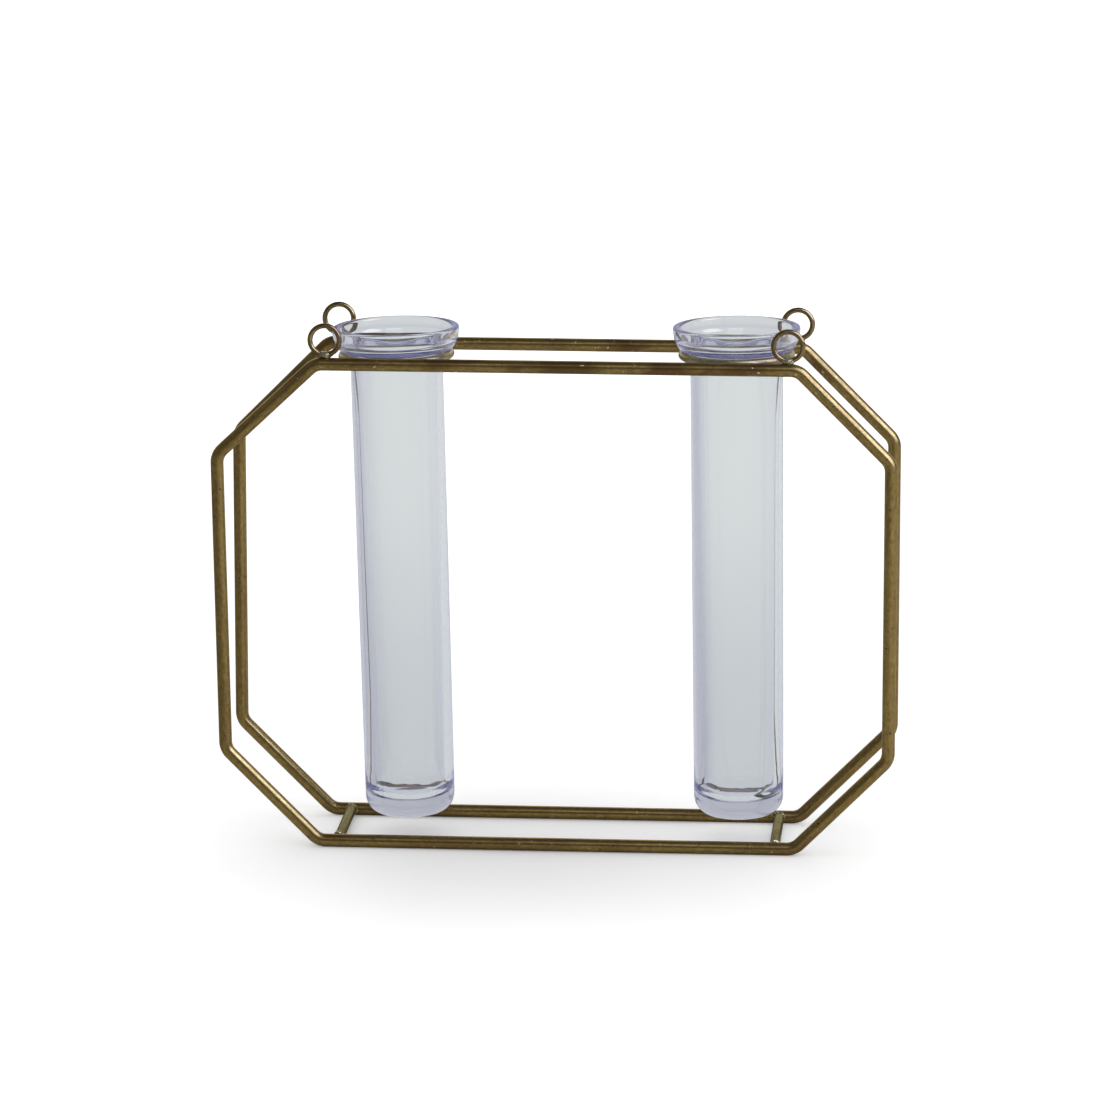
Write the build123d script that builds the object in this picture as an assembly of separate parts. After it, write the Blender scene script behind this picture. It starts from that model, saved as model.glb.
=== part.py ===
from build123d import *
import os

# Test tube vase: two glass tubes hang by their rims in wire collars,
# which are brazed between two frames of bent rod.
# Millimetres and degrees, +Z up, front towards -Y.
# The origin is on the table, under the middle of the stand.

# Frames: one round rod each, bent to a rectangle with cut corners
rod_diameter = 4.0
frame_width = 207.6          # over the rod
corner_leg = 28.5            # how far a cut corner runs along each side, on the rod's centre line
bend_radius = 5.5            # of the rod's centre line
front_left_spread = 1.8      # by which the front rod's upper left corner was bent too far out
weld_inset = 13.3            # of the rod's butt joint, from the right end of the bottom rail
weld_gap = 0.6               # between the rod's two ends

# Glass tubes
tube_length = 153.0
tube_diameter = 28.4         # just under the rim
tube_taper = 0.8             # by which the base is narrower
tube_wall = 2.2              # at the base
base_thickness = 5.6
base_edge_radius = 6.0
bore_end_radius = 5.0
tube_table_clearance = 6.8   # under the base, with the collar level with the rails

# Rim: a cup that flares from its foot to a straight band with a rounded lip
rim_height = 7.4
rim_foot_overhang = 0.8      # of the foot, past the middle of the collar's wire
rim_foot_edge_radius = 0.8
rim_flare = 2.2              # by which the band stands out from the foot, all round
rim_flare_radius = 4.0
rim_band_height = 2.8
neck_radius = 0.6            # in the corner under the rim
lip_wall = 2.2
lip_round_share = 0.45       # of the lip's wall, for each of its two edges
cup_wall = 1.9               # beside the cup's floor
cup_floor_height = 2.3       # of the floor's outer edge, above the foot
cup_floor_radius = 2.0
bore_mouth_height = 1.6      # of the floor's inner edge, above the foot
bore_mouth_radius = 1.8

# Collars: round wire, each set by hand a little off the middle and off level
collar_wire = 2.6
collar_clearance = 1.0       # between the wire and the tube, all round
seat_clearance = 0.2         # between the wire and the rim
collar_braze_gap = 0.25      # between the wire and a rail at the same level
left_collar_inset = 22.8     # from the left end of the top rails
left_collar_rise = -0.15     # above the top rails' centre line
left_collar_lean = -1.5      # about Y, the tube's top to the left
right_collar_inset = 19.5    # from the right end of the top rails
right_collar_rise = 1.2
right_collar_lean = -0.6

# Ties between the bottom rails
tie_diameter = 3.2
tie_inset = 6.1              # from the ends of the bottom rails
tie_cope_depth = 0.6         # how far the tie's end reaches round the rail
tie_table_gap = 0.1          # under the filler round the tie's ends

# Eyelets: open wire loops that stand on the top rails
eyelet_diameter = 10.5       # over the wire
eyelet_wire = 1.6
eyelet_inset = 3.0           # from the ends of the top rails
back_right_eyelet_inset = 1.6
eyelet_opening = 22.0        # angle left open at the foot
eyelet_braze_gap = 0.1       # between the loop and the rail

# Deposits of filler metal
collar_braze_length = 9.0
collar_braze_diameter = 2.4
eyelet_braze_length = 5.6
eyelet_braze_wall = 0.5      # round the eyelet's wire
tie_braze_length = 2.4       # along the tie
tie_braze_wall = 0.7         # round the tie, where it meets the rail
tie_braze_edge = 0.3         # round the tie, at the filler's far end

# Sizes worked out from those above
rod_radius = rod_diameter / 2
half_width = frame_width / 2 - rod_radius
rail_end = half_width - corner_leg
collar_radius = tube_diameter / 2 + collar_clearance + collar_wire / 2
rail_depth = collar_radius + collar_wire / 2 + collar_braze_gap + rod_radius
rim_seat = collar_wire / 2 + seat_clearance
rim_top = rim_seat + rim_height
bottom_level = rod_radius
top_level = tube_table_clearance + tube_length - rim_top
left_collar_middle = (left_collar_inset - rail_end, 0, top_level + left_collar_rise)
right_collar_middle = (rail_end - right_collar_inset, 0, top_level + right_collar_rise)
collar_places = {
    "left": Location(left_collar_middle, (0, left_collar_lean, 0)),
    "right": Location(right_collar_middle, (0, right_collar_lean, 0)),
}
weld_place = rail_end - weld_inset
tie_place = rail_end - tie_inset
tie_radius = tie_diameter / 2
tie_end_depth = rail_depth - rod_radius + tie_cope_depth
tie_level = tie_radius + tie_braze_wall + tie_table_gap
eyelet_places = {
    "front_left": eyelet_inset - rail_end,
    "front_right": rail_end - eyelet_inset,
    "back_left": eyelet_inset - rail_end,
    "back_right": rail_end - back_right_eyelet_inset,
}
eyelet_foot_level = top_level + rod_radius + eyelet_braze_gap
faces = {"front": -1, "back": 1}
sides = {"left": -1, "right": 1}


def rounded_face(corners):
    """Face in the XZ plane through (r, z, radius) corners, each rounded by its radius."""
    face = make_face(Polyline(*[(r, z) for r, z, radius in corners], close=True))
    for r, z, radius in corners:
        if radius:
            face = fillet(face.vertices().sort_by_distance((r, z, 0))[0], radius)
    return Plane.XZ * face


def bead(length, diameter):
    """Round-ended run of filler metal along X."""
    straight = length - diameter
    ends = [Pos(side * straight / 2, 0, 0) * Sphere(diameter / 2) for side in sides.values()]
    return Rot(0, 90, 0) * Cylinder(diameter / 2, straight) + ends


def frame_rod(face, left_spread):
    """One bent rod, from one side of its butt joint round to the other."""
    depth = face * rail_depth
    lower_corner = bottom_level + corner_leg
    upper_corner = top_level - corner_leg
    path = FilletPolyline(
        (weld_place + weld_gap / 2, depth, bottom_level),
        (rail_end, depth, bottom_level),
        (half_width, depth, lower_corner),
        (half_width, depth, upper_corner),
        (rail_end, depth, top_level),
        (-rail_end, depth, top_level),
        (-half_width - left_spread, depth, upper_corner),
        (-half_width, depth, lower_corner),
        (-rail_end, depth, bottom_level),
        (weld_place - weld_gap / 2, depth, bottom_level),
        radius=bend_radius,
    )
    section = Plane(path @ 0, z_dir=path % 0) * Circle(rod_radius)
    return sweep(section, path)


def frame_weld(face):
    """Metal that fills the rod's butt joint, dressed flush."""
    return Pos(weld_place, face * rail_depth, bottom_level) * Rot(0, 90, 0) * Cylinder(rod_radius, weld_gap)


def collar():
    """Wire ring, centred on its own middle."""
    return Torus(collar_radius, collar_wire / 2)


def collar_braze(place, face):
    """Filler between a collar and one rail, before the two are cut out of it."""
    middle = place.position
    depth = collar_radius + collar_wire / 2 + collar_braze_gap / 2
    touch = Pos(middle.X, face * depth, (middle.Z + top_level) / 2)
    return touch * bead(collar_braze_length, collar_braze_diameter)


def tie_bar(side):
    """Round bar that ends a little way round the rails, before these are cut out of it."""
    return Pos(side * tie_place, 0, tie_level) * Rot(90, 0, 0) * Cylinder(tie_radius, 2 * tie_end_depth)


def tie_braze(side, face):
    """Filler round a tie's end, before the tie and the rail are cut out of it."""
    cone = Cone(
        tie_radius + tie_braze_wall,
        tie_radius + tie_braze_edge,
        tie_braze_length,
        align=(Align.CENTER, Align.CENTER, Align.MIN),
    )
    return Pos(side * tie_place, face * tie_end_depth, tie_level) * Rot(face * 90, 0, 0) * cone


def eyelet(place, face):
    """Wire loop in the frame's plane, open at its foot."""
    wire_radius = eyelet_wire / 2
    loop_radius = eyelet_diameter / 2 - wire_radius
    section = Plane.XY * Pos(loop_radius, 0) * Circle(wire_radius)
    loop = revolve(section, Axis.Y, 360 - eyelet_opening)
    middle = Pos(place, face * rail_depth, eyelet_foot_level + eyelet_diameter / 2)
    return middle * Rot(0, 90 - eyelet_opening / 2, 0) * loop


def eyelet_braze(place, face):
    """Filler round an eyelet's foot, before the loop and the rail are cut out of it."""
    foot = Pos(place, face * rail_depth, eyelet_foot_level + eyelet_wire / 2)
    return foot * bead(eyelet_braze_length, eyelet_wire + 2 * eyelet_braze_wall)


def glass_tube():
    """Test tube with a cup-shaped rim, set out from the middle of its collar."""
    base = rim_top - tube_length
    base_radius = (tube_diameter - tube_taper) / 2
    bore_radius = base_radius - tube_wall
    foot_radius = collar_radius + rim_foot_overhang
    band_radius = foot_radius + rim_flare
    lip_edge_radius = lip_wall * lip_round_share
    outside = [
        (0, base, 0),
        (base_radius, base, base_edge_radius),
        (tube_diameter / 2, rim_seat, neck_radius),
        (foot_radius, rim_seat, rim_foot_edge_radius),
        (band_radius, rim_top - rim_band_height, rim_flare_radius),
        (band_radius, rim_top, lip_edge_radius),
    ]
    inside = [
        (band_radius - lip_wall, rim_top, lip_edge_radius),
        (foot_radius - cup_wall, rim_seat + cup_floor_height, cup_floor_radius),
        (bore_radius, rim_seat + bore_mouth_height, bore_mouth_radius),
        (bore_radius, base + base_thickness, bore_end_radius),
        (0, base + base_thickness, 0),
    ]
    return revolve(rounded_face(outside + inside), Axis.Z)


frames = {"front": frame_rod(faces["front"], front_left_spread), "back": frame_rod(faces["back"], 0)}
collars = {name: place * collar() for name, place in collar_places.items()}
tubes = {name: place * glass_tube() for name, place in collar_places.items()}
ties = {name: tie_bar(side) - list(frames.values()) for name, side in sides.items()}
eyelets = {}
collar_brazes = []
tie_brazes = []
eyelet_brazes = []
for face_name, face in faces.items():
    frame = frames[face_name]
    for side_name, side in sides.items():
        eyelet_name = f"{face_name}_{side_name}"
        loop = eyelet(eyelet_places[eyelet_name], face)
        eyelets[eyelet_name] = loop
        eyelet_brazes.append(eyelet_braze(eyelet_places[eyelet_name], face) - [frame, loop])
        tie_brazes.append(tie_braze(side, face) - [frame, ties[side_name]])
        place = collar_places[side_name]
        collar_brazes.append(collar_braze(place, face) - [frame, collars[side_name]])

nodes = {f"{name}_frame": shape for name, shape in frames.items()}
nodes |= {f"{name}_collar": shape for name, shape in collars.items()}
nodes |= {f"{name}_tie": shape for name, shape in ties.items()}
nodes |= {f"{name}_eyelet": shape for name, shape in eyelets.items()}
nodes |= {f"{name}_tube": shape for name, shape in tubes.items()}
nodes["collar_brazes"] = Compound(collar_brazes)
nodes["eyelet_brazes"] = Compound(eyelet_brazes)
nodes["tie_brazes"] = Compound(tie_brazes)
nodes["frame_welds"] = Compound([frame_weld(face) for face in faces.values()])

os.makedirs("parts", exist_ok=True)
for name, shape in nodes.items():
    export_step(shape, f"parts/{name}.step")
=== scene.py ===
import math

import bmesh
import bpy
from mathutils import Matrix, Vector, noise


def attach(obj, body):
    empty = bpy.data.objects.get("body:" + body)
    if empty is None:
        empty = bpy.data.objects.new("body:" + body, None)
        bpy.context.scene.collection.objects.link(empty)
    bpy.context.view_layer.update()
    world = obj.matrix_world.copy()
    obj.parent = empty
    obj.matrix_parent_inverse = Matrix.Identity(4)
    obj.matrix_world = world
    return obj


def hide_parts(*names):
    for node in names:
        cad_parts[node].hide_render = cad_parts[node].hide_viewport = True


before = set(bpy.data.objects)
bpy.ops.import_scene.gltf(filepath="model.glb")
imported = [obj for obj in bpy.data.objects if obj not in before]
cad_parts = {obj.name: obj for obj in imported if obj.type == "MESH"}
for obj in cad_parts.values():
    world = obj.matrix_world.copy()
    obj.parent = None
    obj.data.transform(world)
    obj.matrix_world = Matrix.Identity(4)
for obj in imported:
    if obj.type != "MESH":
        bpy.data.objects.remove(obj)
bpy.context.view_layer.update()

# Frames: two round brass rods, each bent cold to a rectangle with cut corners and closed in its bottom rail.
# An antique wash darkened the brass, and it was rubbed back by hand, which left it streaked along the rod.
mm = 0.001
rod_radius = 2.0 * mm
half_width = 101.8 * mm
half_depth = 20.05 * mm
corner_leg = 28.5 * mm
bend_radius = 5.5 * mm
left_spreads = {"front": 1.8 * mm, "back": 0}
bottom_level = 2.0 * mm
top_level = 150.9 * mm
weld_place = 60.0 * mm
weld_gap = 0.6 * mm


class Wire:
    """Round wire, laid down ring by ring, which starts at a place on its coil.

    Its attribute "drawn" holds the place of every point along and across the wire before it was bent.
    No two wires start at the same place on the coil, so that their streaks differ.
    """

    def __init__(self, radius, facets, coil, point, heading):
        self.mesh = bmesh.new()
        self.drawn = self.mesh.verts.layers.float_vector.new("drawn")
        self.point = Vector(point)
        self.heading = Vector(heading)
        self.length = coil
        bmesh.ops.create_circle(self.mesh, segments=facets, radius=radius)
        for vert in self.mesh.verts:
            vert[self.drawn] = (coil, vert.co.x, vert.co.y)
        facing = self.heading.to_track_quat("Z", "Y").to_matrix().to_4x4()
        place = Matrix.Translation(self.point) @ facing
        bmesh.ops.transform(self.mesh, matrix=place, verts=self.mesh.verts)
        self.ring = self.mesh.edges[:]
        self.cut()

    def cut(self):
        """Closes the wire's end with a flat face."""
        for edge in self.ring:
            edge.smooth = False
        bmesh.ops.edgeloop_fill(self.mesh, edges=self.ring)

    def lay(self, made, length):
        """Takes the ring that was just made as the wire's end."""
        self.length += length
        self.ring = [part for part in made if isinstance(part, bmesh.types.BMEdge) and part.is_boundary]
        for vert in {vert for edge in self.ring for vert in edge.verts}:
            along, across, over = vert[self.drawn]
            vert[self.drawn] = (self.length, across, over)

    def run(self, length, pieces):
        """Runs straight on."""
        step = self.heading * (length / pieces)
        for piece in range(pieces):
            made = bmesh.ops.extrude_edge_only(self.mesh, edges=self.ring)["geom"]
            verts = [part for part in made if isinstance(part, bmesh.types.BMVert)]
            bmesh.ops.translate(self.mesh, verts=verts, vec=step)
            self.point = self.point + step
            self.lay(made, length / pieces)

    def bend(self, angle, radius, axis, pieces):
        """Bends round a former that lies on the left of the wire, seen from the axis."""
        centre = self.point + Vector(axis).cross(self.heading) * radius
        turn = Matrix.Rotation(angle / pieces, 3, axis)
        for piece in range(pieces):
            made = bmesh.ops.spin(
                self.mesh, geom=self.ring, cent=centre, axis=axis, angle=angle / pieces, steps=1
            )["geom_last"]
            self.point = centre + turn @ (self.point - centre)
            self.heading = turn @ self.heading
            self.lay(made, radius * angle / pieces)


class Grade:
    """One socket in a finish. Python sums on it add the Math nodes that they need."""

    def __init__(self, socket):
        self.socket = socket

    def make(self, kind, settings, inputs, output=0):
        """Adds a node: its settings first, then the values or links of its sockets."""
        tree = self.socket.id_data
        node = tree.nodes.new(kind)
        for name, value in settings.items():
            setattr(node, name, value)
        for name, value in inputs.items():
            if isinstance(value, Grade):
                tree.links.new(node.inputs[name], value.socket)
            else:
                node.inputs[name].default_value = value
        return Grade(node.outputs[output])

    def feed(self, node, name):
        """Links this socket to a node's input."""
        self.socket.id_data.links.new(node.inputs[name], self.socket)

    def sum(self, operation, first, second):
        """Adds a Math node."""
        return self.make("ShaderNodeMath", {"operation": operation}, {0: first, 1: second})

    def __add__(self, other):
        return self.sum("ADD", self, other)

    def __radd__(self, other):
        return self.sum("ADD", other, self)

    def __sub__(self, other):
        return self.sum("SUBTRACT", self, other)

    def __rsub__(self, other):
        return self.sum("SUBTRACT", other, self)

    def __mul__(self, other):
        return self.sum("MULTIPLY", self, other)

    def __rmul__(self, other):
        return self.sum("MULTIPLY", other, self)

    def grain(self, stretch, detail=3.0, roughness=0.55):
        """Noise over these coordinates, with that many grains to the metre along each axis."""
        at = self.make("ShaderNodeVectorMath", {"operation": "MULTIPLY"}, {0: self, 1: stretch})
        return self.make(
            "ShaderNodeTexNoise", {}, {"Vector": at, "Scale": 1.0, "Detail": detail, "Roughness": roughness}, "Fac"
        )

    def along(self, axis):
        """How far these coordinates lie along an axis."""
        return self.make("ShaderNodeVectorMath", {"operation": "DOT_PRODUCT"}, {0: self, 1: axis}, "Value")

    def between(self, low, high):
        """Goes smoothly from 0 at low to 1 at high."""
        return self.make(
            "ShaderNodeMapRange",
            {"interpolation_type": "SMOOTHSTEP"},
            {"Value": self, "From Min": low, "From Max": high},
            "Result",
        )

    def relief(self, strength, distance):
        """Bump of that depth, with this as its height."""
        return self.make(
            "ShaderNodeBump", {}, {"Strength": strength, "Distance": distance, "Height": self}, "Normal"
        )

    def over(self, under, colour):
        """Lays a colour over another one, where this mask is 1."""
        return self.make("ShaderNodeMix", {"data_type": "RGBA"}, {0: self, 6: under, 7: colour}, 2)


def new_finish(name):
    """Returns a material, its shader, and its Object coordinates."""
    finish = bpy.data.materials.new(name)
    finish.use_nodes = True
    shader = finish.node_tree.nodes["Principled BSDF"]
    place = Grade(shader.outputs["BSDF"]).make("ShaderNodeTexCoord", {}, {}, "Object")
    return finish, shader, place


def antique_brass(name, wash, rubbed, ruddy, dullness, lacquer):
    """Brass rod or wire: a dark wash, rubbed back in streaks.

    Darker ruddy patches and pale nicks lie mostly on the rails, most of all on the top rails, grime specks and dents
    all over.
    """
    finish, shader, place = new_finish(name)
    drawn = place.make("ShaderNodeAttribute", {"attribute_name": "drawn"}, {}, "Vector")
    streaks = drawn.grain((45, 700, 700), 5.0, 0.6)
    mottle = drawn.grain((600, 1100, 1100), 4.0, 0.65)
    patch_noise = drawn.grain((60, 160, 160), 3.0, 0.5)
    specks = drawn.grain((700, 900, 900), 1.0, 0.4)

    level = place.along((0, 0, 1))
    on_bottom_rails = level.between(20 * mm, 6 * mm)
    on_top_rails = level.between(135 * mm, 149 * mm)
    on_rails = on_bottom_rails * 0.5 + on_top_rails * 1.3
    bright = (streaks * 0.35 + mottle * 0.65).between(0.26, 0.74)
    # Darker, ruddier patches, strongest on the top rails and weaker on the bottom rails.
    ruddy_patches = patch_noise.between(0.42, 0.65) * (0.15 + on_rails * 0.65)
    grime = specks.between(0.73, 0.78)
    nicks = specks.between(0.27, 0.22) * on_rails
    grime_black = (0.012, 0.009, 0.006, 1)
    bare_brass = (0.62, 0.53, 0.34, 1)
    darkened = grime.over(ruddy_patches.over(bright.over(wash, rubbed), ruddy), grime_black)
    nicks.over(darkened, bare_brass).feed(shader, "Base Color")

    (dullness - bright * 0.1 + ruddy_patches * 0.08 + grime * 0.2).feed(shader, "Roughness")
    (1 - grime * 0.8).feed(shader, "Metallic")
    shader.inputs["Specular Tint"].default_value = (0.6, 0.52, 0.4, 1)
    shader.inputs["Coat Weight"].default_value = lacquer
    shader.inputs["Coat Roughness"].default_value = 0.28

    dents = drawn.grain((90, 300, 300), 2.0, 0.5)
    height = dents * 0.95 + mottle * 0.05 - grime * 0.3
    height.relief(0.1, 0.2 * mm).feed(shader, "Normal")
    return finish


def add_piece(name, mesh, finish, body, nodes):
    """Makes a mesh the piece that stands for CAD nodes on a body."""
    bmesh.ops.recalc_face_normals(mesh, faces=mesh.faces)
    data = bpy.data.meshes.new(name)
    mesh.to_mesh(data)
    mesh.free()
    data.shade_smooth()
    data.materials.append(finish)
    piece = bpy.data.objects.new(name, data)
    bpy.context.scene.collection.objects.link(piece)
    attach(piece, body)
    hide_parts(*nodes)
    return piece


rod_brass = antique_brass(
    "antique_brass_rod", wash=(0.155, 0.093, 0.018, 1), rubbed=(0.34, 0.24, 0.068, 1), ruddy=(0.115, 0.06, 0.012, 1),
    dullness=0.36, lacquer=0.45,
)
rail_end = half_width - corner_leg
lower_corner = bottom_level + corner_leg
upper_corner = top_level - corner_leg
for face, depth in {"front": -half_depth, "back": half_depth}.items():
    corners = [
        Vector((across, depth, level))
        for across, level in [
            (weld_place + weld_gap / 2, bottom_level),
            (rail_end, bottom_level),
            (half_width, lower_corner),
            (half_width, upper_corner),
            (rail_end, top_level),
            (-rail_end, top_level),
            (-half_width - left_spreads[face], upper_corner),
            (-half_width, lower_corner),
            (-rail_end, bottom_level),
            (weld_place - weld_gap / 2, bottom_level),
        ]
    ]
    sides = [end - start for start, end in zip(corners, corners[1:])]
    turns = [before.angle(after) for before, after in zip(sides, sides[1:])]
    trims = [0] + [bend_radius * math.tan(turn / 2) for turn in turns] + [0]
    rod = Wire(rod_radius, facets=24, coil=10 * depth, point=corners[0], heading=(1, 0, 0))
    for number, side in enumerate(sides):
        if number > 0:
            rod.bend(turns[number - 1], bend_radius, axis=(0, -1, 0), pieces=8)
        rod.run(side.length - trims[number] - trims[number + 1], pieces=8)
    rod.cut()
    add_piece(f"{face}_rod", rod.mesh, rod_brass, "stand", [f"{face}_frame"])

# Butt joints: filler metal closes each rod in its bottom rail, filed flush.
# The file left the brass there paler than the rod beside it.
filed_brass, shader, place = new_finish("filed_brass")
scratches = place.grain((2600, 300, 300), 3.0, 0.6)
scratches.between(0.3, 0.7).over((0.13, 0.085, 0.03, 1), (0.4, 0.3, 0.13, 1)).feed(shader, "Base Color")
(0.3 + scratches * 0.2).feed(shader, "Roughness")
shader.inputs["Metallic"].default_value = 1.0
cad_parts["frame_welds"].data.materials[0] = filed_brass

# Ties: two short brass bars join the bottom rails, coped to the rods and brazed.
# They are duller and greener than the rods, because nobody rubs them back.
tie_radius = 1.6 * mm
tie_place = 67.2 * mm
tie_level = 2.4 * mm
tie_end = 18.65 * mm
tie_brass = antique_brass(
    "antique_brass_tie", wash=(0.09, 0.082, 0.03, 1), rubbed=(0.21, 0.2, 0.1, 1), ruddy=(0.09, 0.068, 0.026, 1),
    dullness=0.42, lacquer=0.1,
)
for side, middle in {"left": -tie_place, "right": tie_place}.items():
    bar = Wire(tie_radius, facets=20, coil=20 * middle, point=(middle, -tie_end, tie_level), heading=(0, 1, 0))
    bar.run(2 * tie_end, pieces=6)
    bar.cut()
    add_piece(f"{side}_bar", bar.mesh, tie_brass, "stand", [f"{side}_tie"])

# Collars: rings of brass wire, butted at the back rail, that carry the tubes by their rims.
# They were set by hand between the top rails, a little off level, and are worn pale by the glass.
collar_wire_radius = 1.3 * mm
collar_radius = 16.5 * mm
collar_slit = math.radians(0.5)
left_collar = Vector((-50.5, 0, 150.75)) * mm
right_collar = Vector((53.8, 0, 152.1)) * mm
collar_places = {
    "left": Matrix.Translation(left_collar) @ Matrix.Rotation(math.radians(-1.5), 4, "Y"),
    "right": Matrix.Translation(right_collar) @ Matrix.Rotation(math.radians(-0.6), 4, "Y"),
}
collar_brass = antique_brass(
    "antique_brass_collar", wash=(0.2, 0.165, 0.08, 1), rubbed=(0.46, 0.41, 0.25, 1), ruddy=(0.21, 0.155, 0.075, 1),
    dullness=0.34, lacquer=0.4,
)
for side, seat in collar_places.items():
    coil = 30 * seat.translation.x
    ring = Wire(collar_wire_radius, facets=20, coil=coil, point=(0, collar_radius, 0), heading=(-1, 0, 0))
    ring.bend(2 * math.pi - collar_slit, collar_radius, axis=(0, 0, 1), pieces=96)
    ring.cut()
    bmesh.ops.transform(ring.mesh, matrix=seat, verts=ring.mesh.verts)
    add_piece(f"{side}_ring", ring.mesh, collar_brass, "stand", [f"{side}_collar"])

# Eyelets: open loops of thin brass wire that stand on the ends of the top rails.
# Each was wound on a mandrel and cut, and its two ends meet in a drop of filler.
eyelet_wire_radius = 0.8 * mm
eyelet_radius = 4.45 * mm
eyelet_places = {
    "front_left": (-70.3 * mm, -half_depth),
    "front_right": (70.3 * mm, -half_depth),
    "back_left": (-70.3 * mm, half_depth),
    "back_right": (71.7 * mm, half_depth),
}
eyelet_level = 158.25 * mm
eyelet_opening = math.radians(22)
eyelet_brass = antique_brass(
    "antique_brass_eyelet", wash=(0.09, 0.056, 0.015, 1), rubbed=(0.36, 0.26, 0.095, 1), ruddy=(0.14, 0.075, 0.024, 1),
    dullness=0.24, lacquer=0.5,
)
for corner, (across, depth) in eyelet_places.items():
    coil = 40 * across + 9 * depth
    loop = Wire(eyelet_wire_radius, facets=16, coil=coil, point=(0, 0, -eyelet_radius), heading=(1, 0, 0))
    loop.bend(2 * math.pi - eyelet_opening, eyelet_radius, axis=(0, -1, 0), pieces=64)
    loop.cut()
    hung = Matrix.Translation((across, depth, eyelet_level)) @ Matrix.Rotation(-eyelet_opening / 2, 4, "Y")
    bmesh.ops.transform(loop.mesh, matrix=hung, verts=loop.mesh.verts)
    add_piece(f"{corner}_loop", loop.mesh, eyelet_brass, "stand", [f"{corner}_eyelet"])

# Filler: drops of brazing metal hold the collars, the eyelets and the ties to the rods.
# It ran under the torch and set in uneven lumps, bright on top, with dark flux and green in the hollows.
filler_metal, shader, place = new_finish("brazing_metal")
lumps = place.grain((900, 900, 900), 4.0, 0.6)
green = place.grain((500, 500, 500), 2.0, 0.5).between(0.5, 0.62) * 0.5
hollow = 1 - lumps.between(0.38, 0.56)
filler_gold = (0.5, 0.42, 0.22, 1)
verdigris = (0.2, 0.24, 0.14, 1)
flux_black = (0.03, 0.026, 0.014, 1)
hollow.over(green.over(filler_gold, verdigris), flux_black).feed(shader, "Base Color")
(0.22 + hollow * 0.35).feed(shader, "Roughness")
(1 - hollow * 0.5).feed(shader, "Metallic")
lumps.relief(0.6, 0.4 * mm).feed(shader, "Normal")


def add_drop(mesh, middle, size, roughness=0.16):
    """Adds one uneven drop of filler, with those half sizes."""
    made = bmesh.ops.create_icosphere(mesh, subdivisions=4, radius=1.0)["verts"]
    for vert in made:
        swell = noise.fractal(vert.co * 1.3 + Vector(middle) * 900, 1.0, 2.0, 3)
        vert.co = Vector(middle) + vert.co * Vector(size) * (1 - roughness + roughness * swell)


eyelet_foot_level = 153.7 * mm
eyelet_drop_size = (2.7 * mm, 1.35 * mm, 1.25 * mm)
drops = bmesh.new()
for across, depth in eyelet_places.values():
    add_drop(drops, (across, depth, eyelet_foot_level), eyelet_drop_size)
add_piece("eyelet_filler", drops, filler_metal, "stand", ["eyelet_brazes"])

collar_joint_depth = 17.95 * mm
left_joint_level = 150.83 * mm
right_joint_level = 151.5 * mm
collar_drop_size = (4.4 * mm, 1.0 * mm, 1.2 * mm)
drops = bmesh.new()
for depth in (-collar_joint_depth, collar_joint_depth):
    add_drop(drops, (left_collar.x, depth, left_joint_level), collar_drop_size)
    add_drop(drops, (right_collar.x, depth, right_joint_level), collar_drop_size)
add_piece("collar_filler", drops, filler_metal, "stand", ["collar_brazes"])

tie_joint_depth = 17.9 * mm
tie_drop_size = (2.3 * mm, 1.3 * mm, 2.2 * mm)
drops = bmesh.new()
for depth in (-tie_joint_depth, tie_joint_depth):
    for across in (-tie_place, tie_place):
        add_drop(drops, (across, depth, tie_level), tie_drop_size)
add_piece("tie_filler", drops, filler_metal, "stand", ["tie_brazes"])

# Tubes: two thick glass test tubes with a cup-shaped rim, which hangs on the collar.
# The faintly violet glass was blown in a mould, so its wall wavers and thickens towards the base.
# Both profiles list radius, height from the middle of the collar, and rounding, in millimetres.
tube_outside = [
    (0, -144.1, 0), (13.8, -144.1, 6.0), (14.2, 1.5, 0.6), (17.2, 1.5, 0.8), (18.7, 3.8, 1.3), (19.5, 6.6, 1.4),
    (19.5, 8.9, 1.0),
]
tube_inside = [
    (17.3, 8.9, 1.0), (16.9, 3.4, 2.6), (12.4, 2.9, 1.2), (10.9, -138.4, 5.0), (0, -138.6, 0),
]
tube_glass, shader, place = new_finish("violet_glass")
waver = place.grain((120, 120, 14), 1.0, 0.5)
level = place.along((0, 0, 1))
wall_colour = waver.over((0.962, 0.968, 0.972, 1), (1, 1, 1, 1))
base_colour = (0.888, 0.893, 0.912, 1)
rim_colour = (0.915, 0.915, 0.935, 1)
body_colour = level.between(120 * mm, 30 * mm).over(wall_colour, base_colour)
level.between(150 * mm, 154 * mm).over(body_colour, rim_colour).feed(shader, "Base Color")
shader.inputs["Transmission Weight"].default_value = 1.0
shader.inputs["IOR"].default_value = 1.5
shader.inputs["Roughness"].default_value = 0.0
shader.inputs["Sheen Weight"].default_value = 0.2
shader.inputs["Sheen Roughness"].default_value = 0.5
shader.inputs["Sheen Tint"].default_value = (0.5, 0.5, 1, 1)
ripples = place.grain((220, 220, 320), 1.0, 0.5) * level.between(30 * mm, 14 * mm)
(waver + ripples * 3.5).relief(0.06, 0.5 * mm).feed(shader, "Normal")
tint = place.make("ShaderNodeVolumeAbsorption", {}, {"Color": (0.4, 0.41, 0.64, 1), "Density": 9.0}, "Volume")
tint.feed(tube_glass.node_tree.nodes["Material Output"], "Volume")

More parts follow.
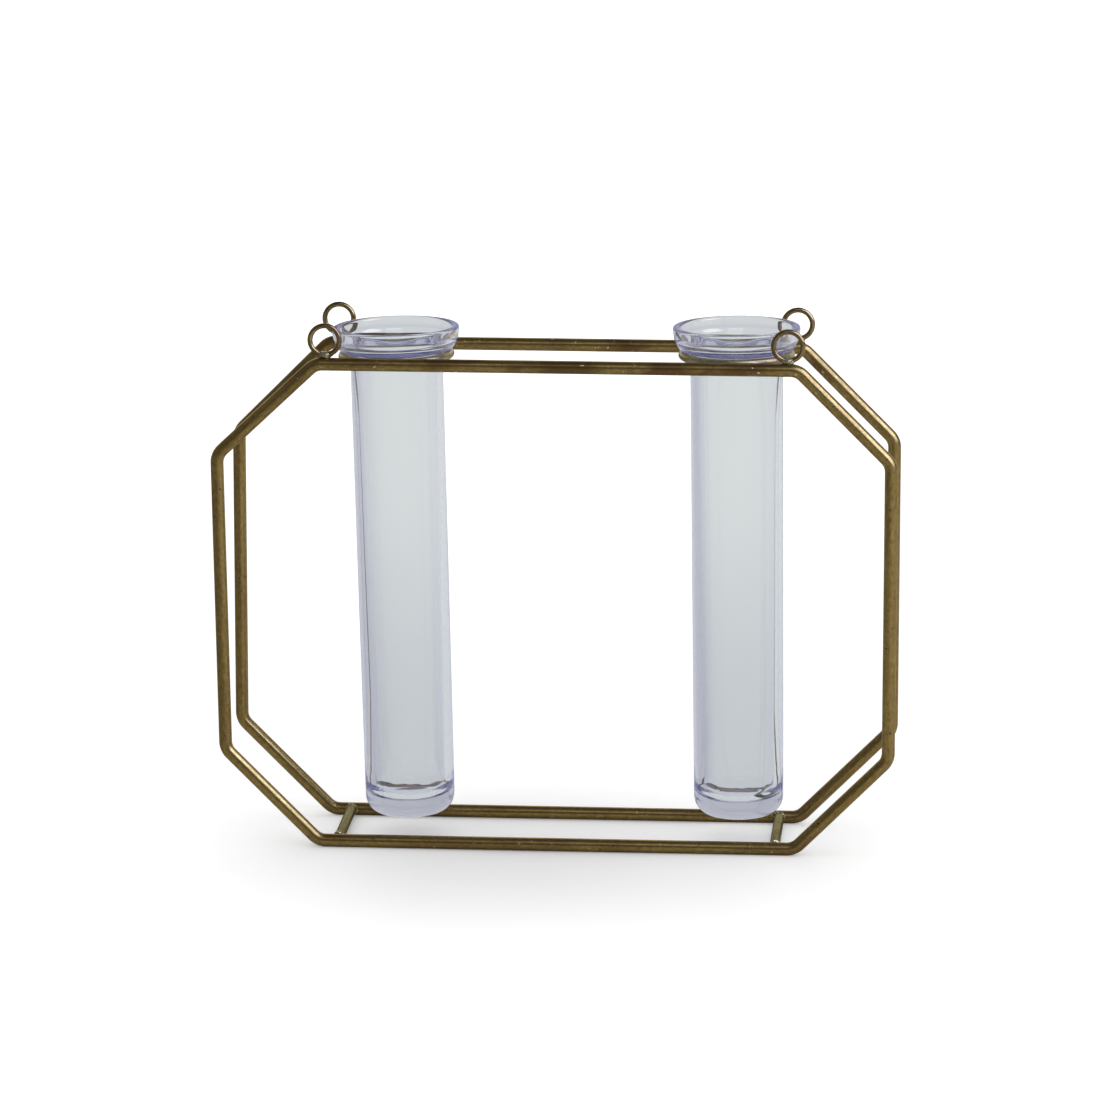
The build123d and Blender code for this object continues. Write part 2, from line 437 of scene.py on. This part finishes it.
tubes = []
for side, seat in collar_places.items():
    tube = bmesh.new()
    corners = tube_outside + tube_inside
    profile = [tube.verts.new((radius * mm, 0, height * mm)) for radius, height, rounding in corners]
    tube.faces.new(profile)
    for vert, (radius, height, rounding) in zip(profile, corners):
        if rounding:
            bmesh.ops.bevel(
                tube, geom=[vert], offset=rounding * mm, offset_type="OFFSET", affect="VERTICES",
                segments=8, profile=0.5, material=-1,
            )
    bmesh.ops.delete(tube, geom=tube.faces[:], context="FACES_ONLY")
    axis_edges = [edge for edge in tube.edges if max(vert.co.x for vert in edge.verts) < 0.01 * mm]
    bmesh.ops.delete(tube, geom=axis_edges, context="EDGES")
    walls = [edge for edge in tube.edges if edge.calc_length() > 50 * mm]
    bmesh.ops.subdivide_edges(tube, edges=walls, cuts=40)
    bmesh.ops.spin(
        tube, geom=tube.verts[:] + tube.edges[:], cent=(0, 0, 0), axis=(0, 0, 1), angle=2 * math.pi, steps=96,
        use_merge=True,
    )
    bmesh.ops.remove_doubles(tube, verts=tube.verts, dist=0.001 * mm)
    bmesh.ops.transform(tube, matrix=seat, verts=tube.verts)
    tubes.append(add_piece(f"{side}_glass", tube, tube_glass, f"{side}_tube", [f"{side}_tube"]))
for glass in tubes:
    glass.visible_shadow = False     # without caustics, clear glass would cast a solid's shadow

# Stage: a white floor under soft light, with a soft shadow painted into its glow round the vase, and a large softbox
# at the upper right.
# The camera stands a little to the right of the front and looks down at the vase.
def grey(tone):
    """Neutral colour of that tone."""
    return (tone, tone, tone, 1)


floor_mesh = bmesh.new()
bmesh.ops.create_circle(floor_mesh, cap_ends=True, segments=96, radius=6.0)
floor_data = bpy.data.meshes.new("floor")
floor_mesh.to_mesh(floor_data)
floor_mesh.free()
floor = bpy.data.objects.new("floor", floor_data)
bpy.context.scene.collection.objects.link(floor)
floor_white, shader, place = new_finish("floor_white")
away = place.make("ShaderNodeVectorMath", {"operation": "DISTANCE"}, {0: place, 1: (-0.01, -0.03, 0)}, "Value")
shader.inputs["Base Color"].default_value = grey(0.87)
shader.inputs["Roughness"].default_value = 0.6
shader.inputs["Specular IOR Level"].default_value = 0.2
shader.inputs["Emission Strength"].default_value = 1.0
# Painted shadow: the floor glows less near the vase, so that a soft grey shade seems to lie round it.
glow_with_painted_shadow = away.between(0.0, 0.13).over(grey(0.06), grey(0.32))
away.between(0.12, 1.2).over(glow_with_painted_shadow, grey(0.55)).feed(shader, "Emission Color")
# The brass reflects a floor that is paler on the right, and the glass looks through it to the world.
in_metal = place.make("ShaderNodeLightPath", {}, {}, "Is Glossy Ray")
in_glass = place.make("ShaderNodeLightPath", {}, {}, "Is Singular Ray")
far_white = place.along((1, 0, 0)).between(-0.3, 0.3).over(grey(0.36), grey(0.88))
metal_white = away.between(0.2, 0.07).over(far_white, grey(0.72))
metal_floor = place.make("ShaderNodeBsdfDiffuse", {}, {"Color": metal_white}, "BSDF")
glass_floor = place.make("ShaderNodeBsdfTransparent", {}, {}, "BSDF")
lit_floor = place.make(
    "ShaderNodeMixShader", {}, {0: in_metal, 1: Grade(shader.outputs["BSDF"]), 2: metal_floor}, "Shader"
)
seen_floor = place.make("ShaderNodeMixShader", {}, {0: in_glass, 1: lit_floor, 2: glass_floor}, "Shader")
seen_floor.feed(floor_white.node_tree.nodes["Material Output"], "Surface")
floor_data.materials.append(floor_white)

world = bpy.data.worlds.new("studio")
world.use_nodes = True
sky = world.node_tree.nodes["Background"]
direction = Grade(sky.outputs["Background"]).make("ShaderNodeTexCoord", {}, {}, "Generated")
behind = direction.along((0, 1, 0))
rise = direction.along((0, 0, 1))

# The brass reflects a bright wall behind, a dim one on the left and dark elsewhere.
side_sky = direction.along((-1, 0, 0)).between(0.1, 0.8).over(grey(0.07), grey(0.24))
metal_sky = behind.between(0.4, 0.92).over(side_sky, grey(1.25))

# The glass sees a pale backdrop all round, dimmer at the horizon and behind on the left, and dark blue high in front.
# A soft glint of the key is painted into it, since the key doesn't light the glass, but not down long paths through
# the glass, which would speckle the brass beyond.
horizon = rise.between(-0.18, -0.06).over((0.715, 0.75, 0.74, 1), (0.565, 0.58, 0.615, 1))
back_left = direction.along((-0.75, 0.65, -0.1))
backdrop = back_left.between(0.72, 0.97).over(horizon, (0.52, 0.535, 0.57, 1))
in_front = 1 - behind.between(0, 0.4)
low_front = (rise.between(-0.06, 0.12) * in_front).over(backdrop, (0.34, 0.36, 0.45, 1))
high_front = (rise.between(0.15, 0.45) * in_front).over(low_front, (0.1, 0.14, 0.25, 1))
short_path = direction.make("ShaderNodeLightPath", {}, {}, "Ray Depth").between(3.6, 3.4)
painted_key_glint = direction.along((0.72, -0.35, 0.6)).between(0.91, 0.99) * short_path
glass_sky = painted_key_glint.over(high_front, (6, 6, 6.2, 1))

sky_in_metal = direction.make("ShaderNodeLightPath", {}, {}, "Is Glossy Ray")
sky_in_glass = direction.make("ShaderNodeLightPath", {}, {}, "Is Singular Ray")
sky_in_glass.over(sky_in_metal.over(grey(0.88), metal_sky), glass_sky).feed(sky, "Color")
bpy.context.scene.world = world
bpy.context.scene.cycles.max_bounces = 32
bpy.context.scene.cycles.transmission_bounces = 32
bpy.context.scene.cycles.glossy_bounces = 16

vase_middle = Vector((0, 0, 80)) * mm


def add_softbox(name, direction, distance, size, power):
    """Hangs a soft light at that distance from the vase, turned to face it."""
    light = bpy.data.lights.new(name, "AREA")
    light.shape = "RECTANGLE"
    light.size, light.size_y = size
    light.energy = power
    box = bpy.data.objects.new(name, light)
    towards = Vector(direction).normalized()
    facing = towards.to_track_quat("Z", "Y").to_matrix().to_4x4()
    box.matrix_world = Matrix.Translation(vase_middle + towards * distance) @ facing
    bpy.context.scene.collection.objects.link(box)
    return box


# The key lights the brass alone: the floor keeps its soft shadows, which its glow partly paints, and the glass gets no
# crisp white glare.
key_softbox = add_softbox("key_softbox", (0.72, -0.38, 0.60), distance=1.3, size=(1.2, 1.2), power=24)
key_softbox.data.color = (0.84, 0.96, 1.6)
flagged = bpy.data.collections.new("flagged_off_the_key")
for number, kept_dark in enumerate([floor] + tubes):
    flagged.objects.link(kept_dark)
    flagged.collection_objects[number].light_linking.link_state = "EXCLUDE"
key_softbox.light_linking.receiver_collection = flagged
add_softbox("front_softbox", (0.1, -0.75, 0.65), distance=1.8, size=(0.9, 0.5), power=2)

camera_azimuth = math.radians(4.48)
camera_elevation = math.radians(11.72)
camera_distance = 1.915
backwards = Vector((
    math.sin(camera_azimuth) * math.cos(camera_elevation),
    -math.cos(camera_azimuth) * math.cos(camera_elevation),
    math.sin(camera_elevation),
))
rightwards = Vector((math.cos(camera_azimuth), math.sin(camera_azimuth), 0))
aim = Vector((0, 0, 76.45 * mm)) - rightwards * 3.30 * mm + backwards.cross(rightwards) * 13.56 * mm
lens = bpy.data.cameras.new("camera")
lens.sensor_width = 36
lens.lens = 203.4
camera = bpy.data.objects.new("camera", lens)
camera.location = aim + backwards * camera_distance
camera.rotation_euler = (math.pi / 2 - camera_elevation, 0, camera_azimuth)
bpy.context.scene.collection.objects.link(camera)
bpy.context.scene.camera = camera
bpy.context.scene.view_settings.view_transform = "Standard"
